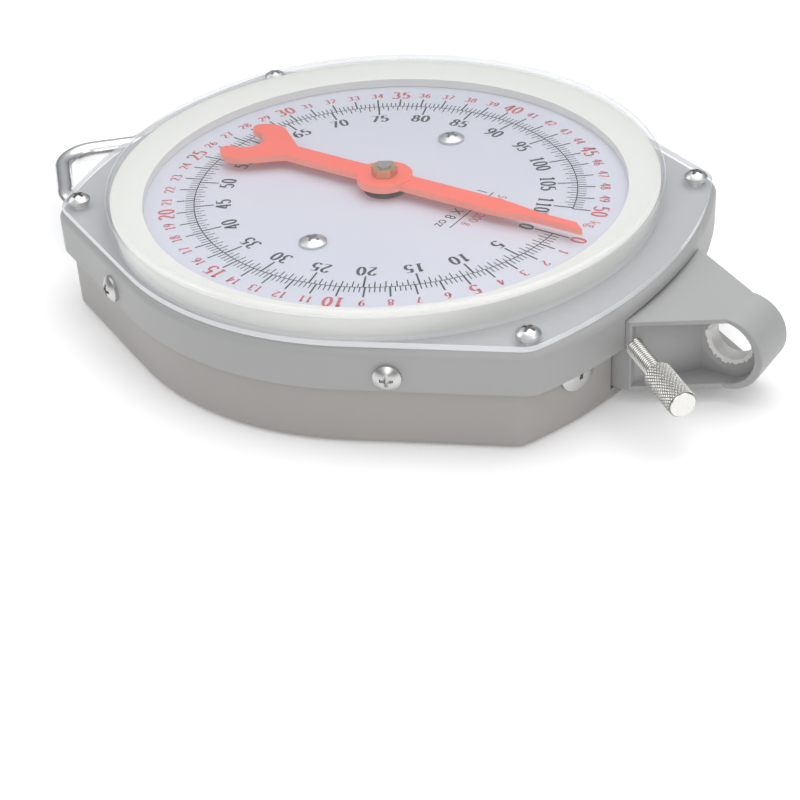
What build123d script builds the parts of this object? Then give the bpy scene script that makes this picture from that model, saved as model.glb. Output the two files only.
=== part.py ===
from build123d import *

import os
from math import acos, asin, ceil, cos, hypot, pi, radians, sin, sqrt, tan

# Hanging spring scale, lying on its back.
# +Z is up through the dial, +Y points to the hanger eye and the dial's zero, +X to three o'clock.
# The origin is on the back face of the casing, under the centre of the dial. Millimetres.

os.makedirs("parts", exist_ok=True)

# Casing.
side_radius = 98.8  # round flanks of the cover, about the dial's axis
flank_angle = 25.5  # where a round flank runs into a straight one, from the X axis
end_reach = side_radius + 10.2  # end walls of the cover, on the Y axis
end_radius = 1.477 * end_reach  # radius of the two end walls
corner_radius = 9.5
sheet = 1.2  # pressed steel of casing and cover
cover_top = 36.5
seam_height = cover_top - 15.1  # lower edge of the cover's skirt
shoulder = 3.2  # rounding between the cover's top and its skirt
tray_top = cover_top - 5.5  # upper edge of the rear casing, inside the skirt
floor_sheet = 1.5
tray_edge = 2.5
side_inset = 2.0  # the rear casing stands in from the skirt by this
end_inset = 4.0
seat_gap = 0.1  # between pieces that seat on each other
slip_gap = 0.3  # between pieces that pass each other

# Lens and dial.
dial_opening = side_radius - 7.8
lens_flange = 2.0
flange_inset = 1.2
lens_wall = 1.4
lens_radius = side_radius - 2.4
lens_seat = cover_top + 0.05
lens_edge_height = cover_top + 11.1
lens_rise = 4.5
lens_roof = 2.0
lens_edge_rounding = 2.0
dial_radius = side_radius - 10.8
dial_top = cover_top + 2.5
dial_sheet = 1.0
dial_hole = 7.4
bezel_inner = dial_radius - 4.0
bezel_inner_height = dial_top + 3.2
bezel_sheet = 1.2
lens_screw_in = (5.9, 5.4)  # from the corner of the cover, along X and Y

# Hanger casting.
hanger_low = 5.3
hanger_high = cover_top - 5.5
hanger_root = 25.6  # half-width where it leaves the casing
hanger_nose = 9.6  # half-width of the nose band
nose_start = end_reach + 24.6
hanger_taper_start = end_reach - 0.5
nose_band = 2.9  # wall of the nose round the side pockets
top_plate = 1.5
bottom_plate = 1.7
web = 9.0  # thickness of the web with the eye
eye_radius = 7.0
eye_y = end_reach + 23.8
eye_z = 19.3
eye_mouth = 9.6
frame_plate = 3.4
frame_flange = 4.5
frame_half = 35.0
frame_rib = 3.5
frame_rib_top = 20.0
frame_end = -16.0

# Load line: bail, crosshead, springs.
load_height = 15.5
load_travel = 28.84  # full load, 50 kg
bail_radius = 3.75
bail_leg_x = 28.0
bail_apex = -end_reach - 46.3  # where the middle lines of the two sloping legs meet
bail_slope = 45.0
bail_bend = 13.0
crosshead_y = -37.0
crosshead_depth = 10.0
crosshead_half = 36.0
crosshead_height = 12.0
stud_radius = 3.0
spring_x = 16.0
wire = 2.2
coil_radius = 5.4  # middle of the wire
coil_count = 20
hook_leg = 9.0
pin_radius = 2.0

# Rack and pinion.
gear_module = 0.8
pinion_teeth = 12
pressure_angle = 20.0
backlash = 0.14
rack_addendum = 0.55
pinion_addendum = 0.8
tooth_clearance = 0.22
rack_bottom = 24.0
rack_thickness = 3.0
rack_depth = 6.0
arbor_radius = 2.5
running_gap = 0.04
bridge_bottom = dial_top - 8.0
bridge_sheet = 2.5
post_x = 43.3
post_radius = 5.0

# Pointer.
pointer_bottom = dial_top + 3.2
pointer_thickness = 2.3
hub_radius = 9.7
hub_top = pointer_bottom + 2.7
hub_boss_radius = 4.6
pointer_tip = 78.3
nut_flats = 8.0
nut_height = 3.0

# Tare adjuster.
tare_angle = 38.5  # of the screw's axis from +Y towards +X
tare_x = 23.1
tare_y = end_reach - 0.2
tare_z = 20.9
tare_thread = 3.0
tare_exposed = 17.0
knob_radius = 4.7
knob_length = 18.5
tare_inside = 19.5  # from the casting's face to the tip of the screw
pad_length = 3.5
lever_arm = 9.0
lever_out_x = 11.0
lever_out_y = 3.0
lever_nose = 3.0
lever_arm_half = 1.8
lever_sheet = 4.0
contact_gap = 0.15


def tangent_run(radius, reach, end_arc):
    """Length of the straight flank from the round side to the corner with the end arc."""
    centre_y = reach - end_arc
    x = radius * cos(radians(flank_angle))
    y = radius * sin(radians(flank_angle)) - centre_y
    along = -x * sin(radians(flank_angle)) + y * cos(radians(flank_angle))
    return -along + sqrt(along**2 - x**2 - y**2 + end_arc**2)


def plan_points(inset_side, inset_end):
    """Where a round side meets its flank, and where the flank meets the end arc."""
    radius = side_radius - inset_side
    run = tangent_run(radius, end_reach - inset_end, end_radius - inset_end)
    a = radians(flank_angle)
    join = (radius * cos(a), radius * sin(a))
    corner = (join[0] - run * sin(a), join[1] + run * cos(a))
    return join, corner


def casing_plan(inset_side, inset_end, rounding):
    """Outline of the casing: round sides, tangent flanks and shallow end arcs."""
    radius = side_radius - inset_side
    reach = end_reach - inset_end
    join, corner = plan_points(inset_side, inset_end)
    with BuildSketch() as plan:
        with BuildLine():
            ThreePointArc((join[0], -join[1]), (radius, 0), join)
            Line(join, corner)
            ThreePointArc(corner, (0, reach), (-corner[0], corner[1]))
            Line((-corner[0], corner[1]), (-join[0], join[1]))
            ThreePointArc((-join[0], join[1]), (-radius, 0), (-join[0], -join[1]))
            Line((-join[0], -join[1]), (-corner[0], -corner[1]))
            ThreePointArc((-corner[0], -corner[1]), (0, -reach), (corner[0], -corner[1]))
            Line((corner[0], -corner[1]), (join[0], -join[1]))
        make_face()
        tips = [v for v in plan.vertices() if abs(v.Y) > corner[1] - 1]
        fillet(tips, rounding)
    return plan.sketch


def drive_screw(head_radius, head_height, shank_radius, length, recess):
    """Cross-recess screw: seat at the origin, head up +Z, shank down."""
    head_side = 0.4  # share of the head's height that is straight
    crown = head_height * (1 - head_side)
    dome = (head_radius**2 + crown**2) / (2 * crown)
    with BuildPart() as screw:
        with BuildSketch(Plane.XZ):
            with BuildLine():
                Polyline((0, -length), (shank_radius, -length), (shank_radius, 0), (head_radius, 0))
                Line((head_radius, 0), (head_radius, head_height * head_side))
                RadiusArc((head_radius, head_height * head_side), (0, head_height), -dome)
                Line((0, head_height), (0, -length))
            make_face()
        revolve(axis=Axis.Z)
        with BuildSketch(Plane.XY.offset(head_height)):
            Rectangle(recess, recess * 0.26)
            Rectangle(recess * 0.26, recess)
            Circle(recess * 0.24)
        extrude(amount=-head_height * 0.62, mode=Mode.SUBTRACT)
    return screw.part


def hex_nut(flats, height, hole_radius):
    """Hexagon nut: lower face at the origin, axis +Z."""
    with BuildPart() as nut:
        with BuildSketch():
            RegularPolygon(flats / 2, 6, major_radius=False)
            Circle(hole_radius, mode=Mode.SUBTRACT)
        extrude(amount=height)
    return nut.part


def four_corners(x, y, z):
    """The same place in each quarter of the plan."""
    return [(sx * x, sy * y, z) for sx in (1, -1) for sy in (1, -1)]


def finish(part, name):
    """Labels a piece and writes it."""
    part.label = name
    export_step(part, f"parts/{name}.step")


# Places worked out once.
cover_corner = plan_points(0, 0)[1]
lens_screw_x = cover_corner[0] - lens_screw_in[0]
lens_screw_y = cover_corner[1] - lens_screw_in[1]
flange_half = cover_corner[0] - 9.6
flank = radians(flank_angle)
flank_out = (cos(flank), sin(flank))
flank_along = (-sin(flank), cos(flank))
side_screw_run = 14.0
side_screw_height = cover_top - 9.7
side_screw_plan = (
    side_radius * flank_out[0] + side_screw_run * flank_along[0],
    side_radius * flank_out[1] + side_screw_run * flank_along[1],
)
arc_centre_y = end_reach - end_radius
tray_end_radius = end_radius - end_inset
end_screw_x = cover_corner[0] - 20.6
end_screw_height = 20.9
end_screw_tilt = asin(end_screw_x / tray_end_radius)


def side_planes(distance):
    """A plane at each side screw, facing out along the flank, at a distance from the axis."""
    planes = []
    for sx in (1, -1):
        for sy in (1, -1):
            x = sx * (side_screw_plan[0] + (distance - side_radius) * flank_out[0])
            y = sy * (side_screw_plan[1] + (distance - side_radius) * flank_out[1])
            normal = (sx * flank_out[0], sy * flank_out[1], 0)
            planes.append(Plane(origin=(x, y, side_screw_height), z_dir=normal, x_dir=(0, 0, 1)))
    return planes


def end_planes(radius):
    """A plane at each end screw, facing out along the +Y end wall, at a radius of its arc."""
    planes = []
    for sx in (1, -1):
        normal = (sx * sin(end_screw_tilt), cos(end_screw_tilt), 0)
        origin = (radius * normal[0], arc_centre_y + radius * normal[1], end_screw_height)
        planes.append(Plane(origin=origin, z_dir=normal, x_dir=(0, 0, 1)))
    return planes


tare_out = (sin(radians(tare_angle)), cos(radians(tare_angle)))
tare_side = (tare_out[1], -tare_out[0])  # across the screw, towards +X and -Y


def tare_point(depth, across=0):
    """Plan place on the tare screw's axis, depth inside the casting's face."""
    x = tare_x - depth * tare_out[0] + across * tare_side[0]
    y = tare_y - depth * tare_out[1] + across * tare_side[1]
    return (x, y)


def tare_plane(depth):
    """Plane across the tare screw, facing out of the casing."""
    x, y = tare_point(depth)
    return Plane(origin=(x, y, tare_z), z_dir=(tare_out[0], tare_out[1], 0), x_dir=(0, 0, 1))


pad_face = tare_inside + pad_length
lever_nose_in = tare_point(pad_face + contact_gap + lever_nose)
lever_pivot = tare_point(pad_face + contact_gap + lever_nose, -lever_arm)
lever_nose_out = (lever_pivot[0] - lever_out_x, lever_pivot[1] - lever_out_y)
tab_face = lever_nose_out[1] + lever_nose + contact_gap

# Rear casing.
cutout_half = hanger_root + 1.3
bush_radius = 4.7
frame_screw_radius = 3.0
side_screw_radius = 2.0

with BuildPart() as rear_casing:
    with BuildSketch():
        add(casing_plan(side_inset, end_inset, corner_radius - side_inset))
    extrude(amount=tray_top)
    fillet(rear_casing.faces().sort_by(Axis.Z)[0].edges(), tray_edge)
    with BuildSketch(Plane.XY.offset(floor_sheet)):
        add(casing_plan(side_inset + sheet, end_inset + sheet, corner_radius - side_inset - sheet))
    extrude(amount=tray_top, mode=Mode.SUBTRACT)
    with Locations((0, end_reach - end_inset - 2, (hanger_low - 0.7 + tray_top) / 2 + 1)):
        Box(2 * cutout_half, 12, tray_top - hanger_low + 0.7 + 2, mode=Mode.SUBTRACT)
    with BuildSketch(Plane.XZ.offset(end_reach)):
        with Locations((bail_leg_x, load_height), (-bail_leg_x, load_height)):
            Circle(bush_radius + seat_gap)
    extrude(amount=-20, mode=Mode.SUBTRACT)
    for place in side_planes(side_radius):
        with BuildSketch(place):
            Circle(side_screw_radius + slip_gap)
        extrude(amount=-8, mode=Mode.SUBTRACT)
    for place in end_planes(end_radius):
        with BuildSketch(place):
            Circle(frame_screw_radius + slip_gap)
        extrude(amount=-9, mode=Mode.SUBTRACT)
finish(rear_casing.part, "rear_casing")

# Front cover.
notch_half = hanger_root + 0.5
notch_corner = hanger_high + 0.5
notch_crown = hanger_high + 1.5

with BuildPart() as front_cover:
    with BuildSketch(Plane.XY.offset(seam_height)):
        add(casing_plan(0, 0, corner_radius))
    extrude(amount=cover_top - seam_height)
    fillet(front_cover.faces().sort_by(Axis.Z)[-1].edges(), shoulder)
    with BuildSketch(Plane.XY.offset(seam_height)):
        add(casing_plan(sheet, sheet, corner_radius - sheet))
    extrude(amount=cover_top - sheet - seam_height, mode=Mode.SUBTRACT)
    with BuildSketch(Plane.XY.offset(cover_top)):
        Circle(dial_opening)
    extrude(amount=-5, mode=Mode.SUBTRACT)
    with BuildSketch(Plane.XZ.offset(-end_reach - 2)):
        with BuildLine():
            Line((notch_half, notch_corner), (notch_half, seam_height - 2))
            Line((notch_half, seam_height - 2), (-notch_half, seam_height - 2))
            Line((-notch_half, seam_height - 2), (-notch_half, notch_corner))
            ThreePointArc((-notch_half, notch_corner), (0, notch_crown), (notch_half, notch_corner))
        make_face()
    extrude(amount=12, mode=Mode.SUBTRACT)
    with Locations(*four_corners(lens_screw_x, lens_screw_y, cover_top)):
        Cylinder(2.2, 6, mode=Mode.SUBTRACT)
    for place in side_planes(side_radius + 2):
        with BuildSketch(place):
            Circle(side_screw_radius + slip_gap)
        extrude(amount=-6, mode=Mode.SUBTRACT)
finish(front_cover.part, "front_cover")

# Lens: flange with ears, round wall and crowned roof.
crown_radius = (lens_radius**2 + lens_rise**2) / (2 * lens_rise)
crown_centre = lens_edge_height + lens_rise - crown_radius
lens_bore = lens_radius - lens_wall
inner_crown = crown_radius - lens_roof
inner_edge_height = crown_centre + sqrt(inner_crown**2 - lens_bore**2)

with BuildPart() as lens:
    with BuildSketch(Plane.XZ):
        with BuildLine():
            Line((lens_bore, lens_seat), (lens_radius, lens_seat))
            Line((lens_radius, lens_seat), (lens_radius, lens_edge_height))
            RadiusArc((lens_radius, lens_edge_height), (0, lens_edge_height + lens_rise), -crown_radius)
            Line((0, lens_edge_height + lens_rise), (0, crown_centre + inner_crown))
            RadiusArc((0, crown_centre + inner_crown), (lens_bore, inner_edge_height), inner_crown)
            Line((lens_bore, inner_edge_height), (lens_bore, lens_seat))
        make_face()
    revolve(axis=Axis.Z)
    rim_edge = lens.edges().filter_by(GeomType.CIRCLE).filter_by(
        lambda e: abs(e.center().Z - lens_edge_height) < 0.01 and abs(e.radius - lens_radius) < 0.01
    )
    fillet(rim_edge, lens_edge_rounding)
    with BuildSketch(Plane.XY.offset(lens_seat)):
        add(casing_plan(flange_inset, flange_inset + 0.4, corner_radius - flange_inset))
        Circle(lens_bore + lens_wall / 2, mode=Mode.SUBTRACT)
    extrude(amount=lens_flange)
    with Locations(*four_corners(lens_screw_x, lens_screw_y, cover_top)):
        Cylinder(2.2, 8, mode=Mode.SUBTRACT)
finish(lens.part, "lens")

# Bezel: sloping ring between the dial and the lens.
bezel_outer = lens_bore - slip_gap
bezel_outer_height = inner_edge_height - 0.8

with BuildPart() as bezel:
    with BuildSketch(Plane.XZ):
        with BuildLine():
            Polyline(
                (bezel_outer, lens_seat),
                (bezel_outer, bezel_outer_height),
                (bezel_inner, bezel_inner_height),
                (bezel_inner, dial_top + seat_gap),
                (bezel_inner + bezel_sheet, dial_top + seat_gap),
                (bezel_inner + bezel_sheet, bezel_inner_height - bezel_sheet),
                (bezel_outer - bezel_sheet, bezel_outer_height - bezel_sheet - 0.4),
                (bezel_outer - bezel_sheet, lens_seat),
                close=True,
            )
        make_face()
    revolve(axis=Axis.Z)
finish(bezel.part, "bezel")

# Dial plate.
with BuildPart() as dial_plate:
    with BuildSketch(Plane.XY.offset(dial_top - dial_sheet)):
        Circle(dial_radius)
        Circle(dial_hole, mode=Mode.SUBTRACT)
        with Locations((post_x, 0), (-post_x, 0)):
            Circle(2.2, mode=Mode.SUBTRACT)
    extrude(amount=dial_sheet)
finish(dial_plate.part, "dial_plate")

# Hanger frame: eye, flange inside the end wall, floor plate and ribs.
hanger_middle = (hanger_low + hanger_high) / 2
nose_radius = (hanger_high - hanger_low) / 2
pocket_low = hanger_low + bottom_plate
pocket_high = hanger_high - top_plate
pocket_end = nose_start + nose_radius - nose_band
arc_inner = tray_end_radius - sheet - seat_gap
boss_radius = 7.0
bush_outer = 4.0
root_depth = 5.5
wall_line = tare_out[0] * tare_x + tare_out[1] * tare_y
wall_at_web = (wall_line - tare_out[0] * web / 2) / tare_out[1]
wall_at_side = (wall_line - tare_out[0] * 40) / tare_out[1]

with BuildPart() as hanger_frame:
    # the eye's outline in plan, cut to the round nose seen from the side
    with BuildSketch(Plane.XY.offset(hanger_low)):
        with BuildLine():
            Polyline(
                (hanger_root, end_reach - end_inset - root_depth),
                (hanger_root, hanger_taper_start),
                (hanger_nose, nose_start),
                (hanger_nose, nose_start + nose_radius),
                (-hanger_nose, nose_start + nose_radius),
                (-hanger_nose, nose_start),
                (-hanger_root, hanger_taper_start),
                (-hanger_root, end_reach - end_inset - root_depth),
                close=True,
            )
        make_face()
    extrude(amount=hanger_high - hanger_low)
    with BuildSketch(Plane.YZ.offset(-flange_half)):
        with BuildLine():
            Polyline(
                (nose_start, hanger_high),
                (end_reach - end_inset - 20, hanger_high),
                (end_reach - end_inset - 20, hanger_low),
                (nose_start, hanger_low),
            )
            ThreePointArc(
                (nose_start, hanger_low),
                (nose_start + nose_radius, hanger_middle),
                (nose_start, hanger_high),
            )
        make_face()
    extrude(amount=2 * flange_half, mode=Mode.INTERSECT)
    # side pockets between the plates, closed towards the casing by the slanting walls
    for side in (1, -1):
        with BuildSketch(Plane.YZ.offset(side * web / 2), mode=Mode.PRIVATE) as pocket:
            with BuildLine():
                Polyline(
                    (nose_start, pocket_high),
                    (end_reach, pocket_high),
                    (end_reach, pocket_low),
                    (nose_start, pocket_low),
                )
                ThreePointArc(
                    (nose_start, pocket_low),
                    (pocket_end, hanger_middle),
                    (nose_start, pocket_high),
                )
            make_face()
        pocket_body = extrude(pocket.sketch, amount=side * 40, mode=Mode.PRIVATE)
        with BuildSketch(Plane.XY, mode=Mode.PRIVATE) as wedge:
            with BuildLine():
                Polyline(
                    (side * web / 2, wall_at_web),
                    (side * 40, wall_at_side),
                    (side * 40, end_reach - 60),
                    (side * web / 2, end_reach - 60),
                    close=True,
                )
            make_face()
        wedge_body = extrude(wedge.sketch, amount=60, mode=Mode.PRIVATE)
        add(pocket_body - wedge_body, mode=Mode.SUBTRACT)
    # the eye, with a funnel mouth on each side of the web
    with Locations((0, eye_y, eye_z)):
        Cylinder(eye_radius, 60, rotation=(0, 90, 0), mode=Mode.SUBTRACT)
    for side in (1, -1):
        with Locations(Plane(origin=(side * web / 2, eye_y, eye_z), z_dir=(-side, 0, 0))):
            Cone(
                eye_mouth,
                eye_radius,
                1.6,
                align=(Align.CENTER, Align.CENTER, Align.MIN),
                mode=Mode.SUBTRACT,
            )
    # flange that follows the end wall
    with BuildSketch(Plane.XY.offset(hanger_low)) as flange_plan:
        with Locations((0, arc_centre_y)):
            Circle(arc_inner)
            Circle(arc_inner - frame_flange, mode=Mode.SUBTRACT)
        with Locations((0, arc_centre_y + arc_inner)):
            Rectangle(2 * flange_half, 40, mode=Mode.INTERSECT)
    extrude(amount=hanger_high - 1 - hanger_low)
    # floor plate with the cross arm that carries the dial posts
    with BuildSketch(Plane.XY.offset(hanger_low)):
        with Locations((0, (frame_end + end_reach - end_inset - 6) / 2)):
            Rectangle(2 * frame_half, end_reach - end_inset - 6 - frame_end)
        Rectangle(2 * (post_x + post_radius + 2), 2 * (post_radius + 2))
    extrude(amount=frame_plate)
    with BuildSketch(Plane.XY.offset(hanger_low)):
        with Locations((0, (frame_end + end_reach - end_inset - 6) / 2)):
            Rectangle(2 * frame_half, end_reach - end_inset - 6 - frame_end)
            Rectangle(
                2 * (frame_half - frame_rib),
                end_reach - end_inset - frame_end,
                mode=Mode.SUBTRACT,
            )
    extrude(amount=frame_rib_top - hanger_low)
    # boss for the lower bush
    with Locations((0, 0, hanger_low)):
        Cylinder(boss_radius, 8, align=(Align.CENTER, Align.CENTER, Align.MIN))
        Cylinder(
            bush_outer + seat_gap / 4,
            12,
            align=(Align.CENTER, Align.CENTER, Align.MIN),
            mode=Mode.SUBTRACT,
        )
    # bores: tare screw, end screws, lever pivot
    with BuildSketch(tare_plane(-2)):
        Circle(tare_thread + running_gap)
    extrude(amount=-24, mode=Mode.SUBTRACT)
    for place in end_planes(end_radius):
        with BuildSketch(place):
            Circle(frame_screw_radius + running_gap / 2)
        extrude(amount=-16, mode=Mode.SUBTRACT)
    with Locations((lever_pivot[0], lever_pivot[1], hanger_low)):
        Cylinder(
            2.5 + running_gap / 2,
            20,
            align=(Align.CENTER, Align.CENTER, Align.MIN),
            mode=Mode.SUBTRACT,
        )
    nose_edges = [
        e
        for e in hanger_frame.edges()
        if e.center().Y > nose_start + 1 and abs(abs(e.center().X) - hanger_nose) < 0.2
    ]
    fillet(nose_edges, 0.5)
finish(hanger_frame.part, "hanger_frame")

# Fixed fasteners.
lens_screw = drive_screw(4.0, 3.1, side_screw_radius, 6.9, 4.6)
with BuildPart() as lens_screws:
    with Locations(*four_corners(lens_screw_x, lens_screw_y, lens_seat + lens_flange + 0.02)):
        add(lens_screw)
finish(lens_screws.part, "lens_screws")

lens_nut = hex_nut(7, 3.2, side_screw_radius + running_gap / 2)
with BuildPart() as lens_nuts:
    with Locations(*four_corners(lens_screw_x, lens_screw_y, cover_top - sheet - 3.22)):
        add(lens_nut)
finish(lens_nuts.part, "lens_nuts")

side_screw = drive_screw(4.5, 2.8, side_screw_radius, 9.2, 4.4)
with BuildPart() as side_screws:
    for place in side_planes(side_radius + 0.02):
        with Locations(place):
            add(side_screw)
finish(side_screws.part, "side_screws")

side_nut = hex_nut(7, 3.2, side_screw_radius + running_gap / 2)
with BuildPart() as side_nuts:
    for place in side_planes(side_radius - side_inset - sheet - 3.3):
        with Locations(place):
            add(side_nut)
finish(side_nuts.part, "side_nuts")

frame_screw = drive_screw(7.3, 2.3, frame_screw_radius, 8.0, 6.0)
with BuildPart() as frame_screws:
    for place in end_planes(tray_end_radius + 0.12):
        with Locations(place):
            add(frame_screw)
finish(frame_screws.part, "frame_screws")

# Dial posts, bridge and spacers.
post_bottom = hanger_low + frame_plate
spacer_radius = 4.0
with BuildPart() as dial_posts:
    with BuildSketch(Plane.XY.offset(post_bottom)):
        with Locations((post_x, 0), (-post_x, 0)):
            Circle(post_radius)
    extrude(amount=bridge_bottom - post_bottom)
    with BuildSketch(Plane.XY.offset(bridge_bottom)):
        with Locations((post_x, 0), (-post_x, 0)):
            Circle(side_screw_radius + running_gap / 2)
    extrude(amount=-9, mode=Mode.SUBTRACT)
finish(dial_posts.part, "dial_posts")

upper_bush_outer = 4.5
with BuildPart() as arbor_bridge:
    with BuildSketch(Plane.XY.offset(bridge_bottom)):
        SlotOverall(2 * (post_x + 8), 16)
        Circle(upper_bush_outer + seat_gap / 4, mode=Mode.SUBTRACT)
        with Locations((post_x, 0), (-post_x, 0)):
            Circle(2.2, mode=Mode.SUBTRACT)
    extrude(amount=bridge_sheet)
finish(arbor_bridge.part, "arbor_bridge")

bridge_top = bridge_bottom + bridge_sheet
with BuildPart() as dial_spacers:
    with BuildSketch(Plane.XY.offset(bridge_top)):
        with Locations((post_x, 0), (-post_x, 0)):
            Circle(spacer_radius)
            Circle(2.2, mode=Mode.SUBTRACT)
    extrude(amount=dial_top - dial_sheet - bridge_top)
finish(dial_spacers.part, "dial_spacers")

dial_screw = drive_screw(4.7, 2.4, side_screw_radius, 15.5, 5.0)
with BuildPart() as dial_screws:
    with Locations((post_x, 0, dial_top + 0.02), (-post_x, 0, dial_top + 0.02)):
        add(dial_screw)
finish(dial_screws.part, "dial_screws")

# Bushes for the arbor.
with BuildPart() as lower_arbor_bush:
    with BuildSketch(Plane.XY.offset(hanger_low)):
        Circle(bush_outer)
        Circle(arbor_radius + running_gap, mode=Mode.SUBTRACT)
    extrude(amount=8.5)
finish(lower_arbor_bush.part, "lower_arbor_bush")

with BuildPart() as upper_arbor_bush:
    with BuildSketch(Plane.XY.offset(bridge_bottom - 0.6)):
        Circle(upper_bush_outer)
        Circle(arbor_radius + running_gap, mode=Mode.SUBTRACT)
    extrude(amount=bridge_sheet + 1.2)
finish(upper_arbor_bush.part, "upper_arbor_bush")

# Arbor and pinion.
pitch_radius = gear_module * pinion_teeth / 2
base_radius = pitch_radius * cos(radians(pressure_angle))
tip_radius = pitch_radius + pinion_addendum
root_radius = pitch_radius - rack_addendum - tooth_clearance
tooth_width = pi * gear_module / 2 - backlash
collar_height = hanger_low + 8.5 + 0.1
pinion_bottom = rack_bottom - 0.5
pinion_face = rack_thickness + 1.0


def involute(angle):
    return tan(angle) - angle


def half_tooth(radius):
    """Half the angle that a tooth takes up at a radius."""
    at_pitch = tooth_width / (2 * pitch_radius) + involute(radians(pressure_angle))
    return at_pitch - involute(acos(min(1.0, base_radius / radius)))


with BuildPart() as arbor:
    with BuildSketch(Plane.XY.offset(hanger_low + 1)):
        Circle(arbor_radius)
    extrude(amount=hub_top + nut_height + 0.8 - hanger_low - 1)
    with BuildSketch(Plane.XY.offset(collar_height)):
        Circle(4.0)
    extrude(amount=1.5)
    with BuildSketch(Plane.XY.offset(pointer_bottom - 3)):
        Circle(3.6)
    extrude(amount=0.6)
finish(arbor.part, "arbor")

flank_steps = 5
flank_radii = [
    base_radius + (tip_radius - base_radius) * i / (flank_steps - 1) for i in range(flank_steps)
]
with BuildPart() as pinion:
    with BuildSketch(Plane.XY.offset(pinion_bottom)):
        Circle(root_radius)
        for tooth in range(pinion_teeth):
            middle = 2 * pi * (tooth + 0.5) / pinion_teeth
            rise = [(root_radius - 0.3, half_tooth(base_radius))]
            rise += [(r, half_tooth(r)) for r in flank_radii]
            left = [(r * cos(middle + a), r * sin(middle + a)) for r, a in rise]
            right = [(r * cos(middle - a), r * sin(middle - a)) for r, a in reversed(rise)]
            with BuildLine():
                Polyline(*left, *right, close=True)
            make_face()
        Circle(arbor_radius + running_gap / 4, mode=Mode.SUBTRACT)
    extrude(amount=pinion_face)
finish(pinion.part, "pinion")

# Rack.
tooth_pitch = pi * gear_module
rack_root = pitch_radius + pinion_addendum + tooth_clearance
rack_back = rack_root + rack_depth
rack_first = -3
rack_last = ceil((load_travel + 6) / tooth_pitch)
rack_top_y = (rack_last + 1) * tooth_pitch
crosshead_low_y = crosshead_y - crosshead_depth / 2
crosshead_high_y = crosshead_y + crosshead_depth / 2
rack_x = (rack_root + rack_back) / 2
slope = tan(radians(pressure_angle))

with BuildPart() as rack:
    with BuildSketch(Plane.XY.offset(rack_bottom)):
        with Locations((rack_x, (crosshead_low_y + rack_top_y) / 2)):
            Rectangle(rack_depth, rack_top_y - crosshead_low_y)
        for tooth in range(rack_first, rack_last + 1):
            y = tooth * tooth_pitch
            half = tooth_width / 2
            tip_x = pitch_radius - rack_addendum
            tip_half = half - rack_addendum * slope
            root_half = half + (rack_root - pitch_radius) * slope
            with BuildLine():
                Polyline(
                    (rack_root + 0.1, y - root_half),
                    (tip_x, y - tip_half),
                    (tip_x, y + tip_half),
                    (rack_root + 0.1, y + root_half),
                    close=True,
                )
            make_face()
        with Locations((rack_x, crosshead_y)):
            Circle(1.6, mode=Mode.SUBTRACT)
    extrude(amount=rack_thickness)
finish(rack.part, "rack")

# guide behind the rack, hung from the bridge
guide_depth = 6.0
with BuildPart() as rack_guide:
    with Locations((rack_back + slip_gap + guide_depth / 2, 0, rack_bottom - 0.8)):
        Box(
            guide_depth,
            12,
            bridge_bottom - rack_bottom + 0.8,
            align=(Align.CENTER, Align.CENTER, Align.MIN),
        )
finish(rack_guide.part, "rack_guide")

# Crosshead.
crosshead_bottom = load_height - crosshead_height / 2
crosshead_top = load_height + crosshead_height / 2
fork_gap = wire / 2 + 0.4
fork_half = 4.0
spring_pin_y = crosshead_high_y + 6.0
pin_reach = fork_half + 2.0

with BuildPart() as crosshead:
    with Locations((0, crosshead_y, load_height)):
        Box(2 * crosshead_half, crosshead_depth, crosshead_height)
    with Locations((rack_x, crosshead_y, crosshead_top)):
        Cylinder(
            4.0,
            rack_bottom - crosshead_top,
            align=(Align.CENTER, Align.CENTER, Align.MIN),
        )
        Cylinder(1.6, 20, mode=Mode.SUBTRACT)
    with Locations(
        (spring_x, spring_pin_y - 1, load_height),
        (-spring_x, spring_pin_y - 1, load_height),
    ):
        Box(2 * fork_half, pin_reach * 2 - 2, crosshead_height - 2)
    with Locations(
        (spring_x, spring_pin_y + 3, load_height),
        (-spring_x, spring_pin_y + 3, load_height),
    ):
        Box(40, 18, 2 * fork_gap, mode=Mode.SUBTRACT)
    with BuildSketch(Plane.XY):
        with Locations((spring_x, spring_pin_y), (-spring_x, spring_pin_y)):
            Circle(pin_radius + running_gap / 4)
    extrude(amount=40, mode=Mode.SUBTRACT)
    with BuildSketch(Plane.XZ.offset(-crosshead_high_y - 1)):
        with Locations((bail_leg_x, load_height), (-bail_leg_x, load_height)):
            Circle(stud_radius + running_gap / 2)
    extrude(amount=crosshead_depth + 2, mode=Mode.SUBTRACT)
finish(crosshead.part, "crosshead")

with BuildPart() as rack_screw:
    with Locations((rack_x, crosshead_y, rack_bottom + rack_thickness + 0.02)):
        add(drive_screw(3.0, 1.8, 1.5, 10.0, 3.2))
finish(rack_screw.part, "rack_screw")

with BuildPart() as lower_spring_pins:
    with BuildSketch(Plane.XY.offset(crosshead_bottom + 0.5)):
        with Locations((spring_x, spring_pin_y), (-spring_x, spring_pin_y)):
            Circle(pin_radius)
    extrude(amount=crosshead_height - 1)
finish(lower_spring_pins.part, "lower_spring_pins")

# Springs: close-wound coils with a hook at each end.
pin_to_arc = coil_radius - wire / 2 - pin_radius - 0.15
hook_low_centre = spring_pin_y + pin_to_arc
coil_low = hook_low_centre + hook_leg
coil_pitch = wire
coil_high = coil_low + coil_pitch * (coil_count - 1)
hook_high_centre = coil_high + hook_leg
yoke_pin_y = hook_high_centre + pin_to_arc

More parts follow.
